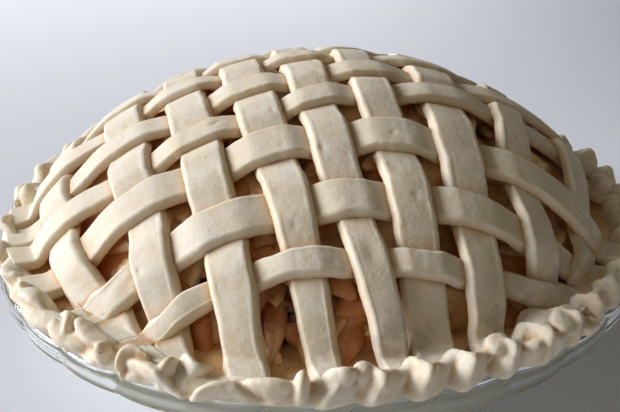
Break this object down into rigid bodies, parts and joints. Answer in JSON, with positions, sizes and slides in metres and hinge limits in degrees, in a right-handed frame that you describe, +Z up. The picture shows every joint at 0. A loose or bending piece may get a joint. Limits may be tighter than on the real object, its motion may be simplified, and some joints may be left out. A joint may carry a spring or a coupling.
{
  "type": "lattice apple pie",
  "caption": "Unbaked high-domed lattice apple pie with a pinched crust rim and woven dough strips over sliced apples, in a clear fluted glass pie dish.",
  "frame": {"origin": "centre of the dish's flat foot, on the surface it stands on", "axes": "+Z up, +X along the cross strips to the right, +Y along the long strips away from the front"},
  "size_m": [0.2506, 0.2501, 0.1061],
  "materials": {
    "clear_glass": "clear pressed glass, smooth",
    "raw_dough": "soft, floury, slightly moist",
    "spiced_apple": "moist, dusted with cinnamon"
  },
  "bodies": {
    "root": {"glass_dish": "clear_glass", "crust": "raw_dough", "apple_filling": "spiced_apple", "long_strip_1": "raw_dough", "long_strip_2": "raw_dough", "long_strip_3": "raw_dough", "long_strip_4": "raw_dough", "long_strip_5": "raw_dough", "long_strip_6": "raw_dough", "long_strip_7": "raw_dough", "long_strip_8": "raw_dough", "long_strip_9": "raw_dough", "cross_strip_1": "raw_dough", "cross_strip_2": "raw_dough", "cross_strip_3": "raw_dough", "cross_strip_4": "raw_dough", "cross_strip_5": "raw_dough", "cross_strip_6": "raw_dough", "cross_strip_7": "raw_dough", "cross_strip_8": "raw_dough", "cross_strip_9": "raw_dough", "cross_strip_10": "raw_dough"}
  },
  "joints": []
}
